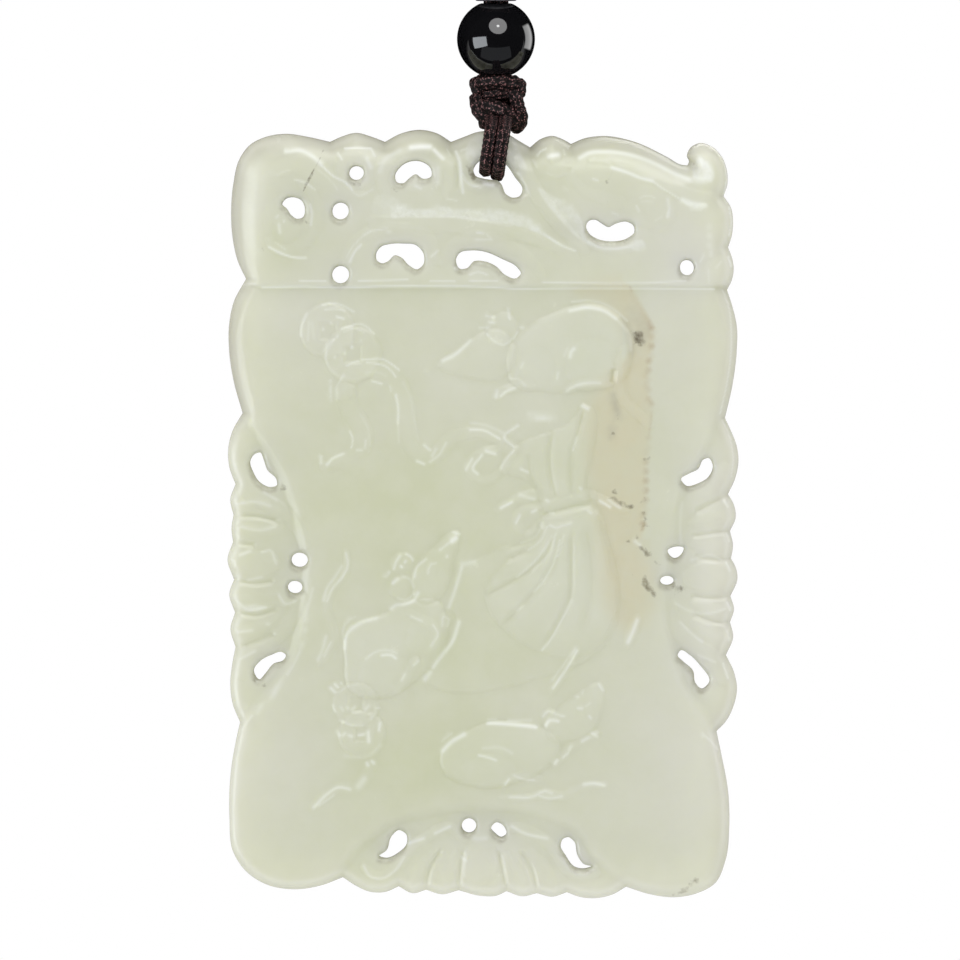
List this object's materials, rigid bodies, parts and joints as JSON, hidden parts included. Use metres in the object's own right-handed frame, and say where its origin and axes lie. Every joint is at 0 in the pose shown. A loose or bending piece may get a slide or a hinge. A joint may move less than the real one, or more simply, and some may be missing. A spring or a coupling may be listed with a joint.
{
  "type": "jade pendant",
  "caption": "Openwork jade plaque carved in relief, on a knotted braided neck cord with a black bead.",
  "frame": {"origin": "under the middle of the plaque, on its flat back", "axes": "+Y towards the plaque's top edge and the cord, +Z out of the carved face, +X to the right as the face is read"},
  "size_m": [0.0392, 0.0978, 0.0083],
  "materials": {
    "jade": "polished pale green translucent nephrite",
    "black_stone": "highly polished black stone",
    "grey_stone": "polished grey stone",
    "braid": "dark brown waxed braid"
  },
  "bodies": {
    "root": {"jade_plaque": "jade", "hanging_loop_left": "braid", "hanging_loop_right": "braid", "cord_knot": "braid", "black_bead": "black_stone", "spacer_bead": "grey_stone", "neck_cord_left": "braid", "neck_cord_right": "braid", "neck_cord_coil": "braid"}
  },
  "joints": []
}
